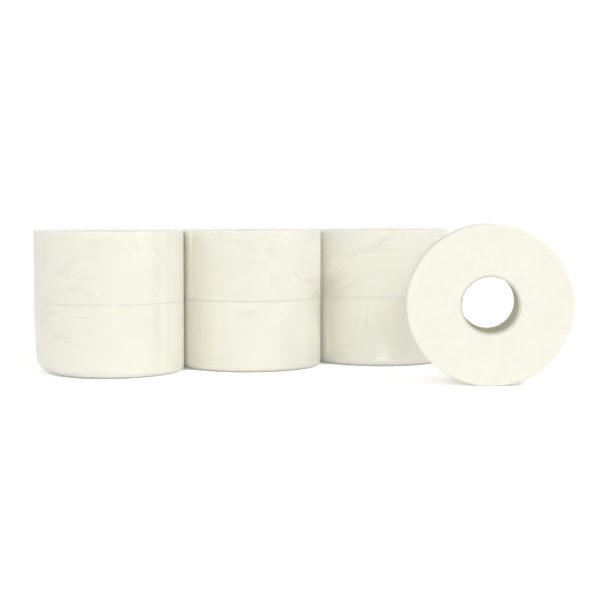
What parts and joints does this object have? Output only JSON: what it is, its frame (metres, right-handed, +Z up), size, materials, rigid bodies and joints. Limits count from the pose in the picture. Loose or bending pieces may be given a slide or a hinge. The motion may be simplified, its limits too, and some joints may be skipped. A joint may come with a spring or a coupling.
{
  "type": "toilet paper roll pack",
  "caption": "Pack of wide toilet paper rolls stacked in clear film, with a loose roll standing on its edge in front.",
  "frame": {"origin": "middle of the film-wrapped pack's underside", "axes": "+X along the row of stacks to the right end, -Y towards the side where the loose roll stands, +Z up"},
  "size_m": [0.5918, 0.4436, 0.186],
  "materials": {
    "tissue": "soft matt cream-white tissue",
    "core_board": "matt grey-beige board",
    "film": "thin clear glossy film"
  },
  "bodies": {
    "root": {"film_wrap": "film", "left_bottom_roll": "tissue", "left_top_roll": "tissue", "middle_bottom_roll": "tissue", "middle_top_roll": "tissue", "right_bottom_roll": "tissue", "right_top_roll": "tissue", "loose_roll": "tissue", "left_bottom_core": "core_board", "left_top_core": "core_board", "middle_bottom_core": "core_board", "middle_top_core": "core_board", "right_bottom_core": "core_board", "right_top_core": "core_board", "loose_roll_core": "core_board"}
  },
  "joints": []
}
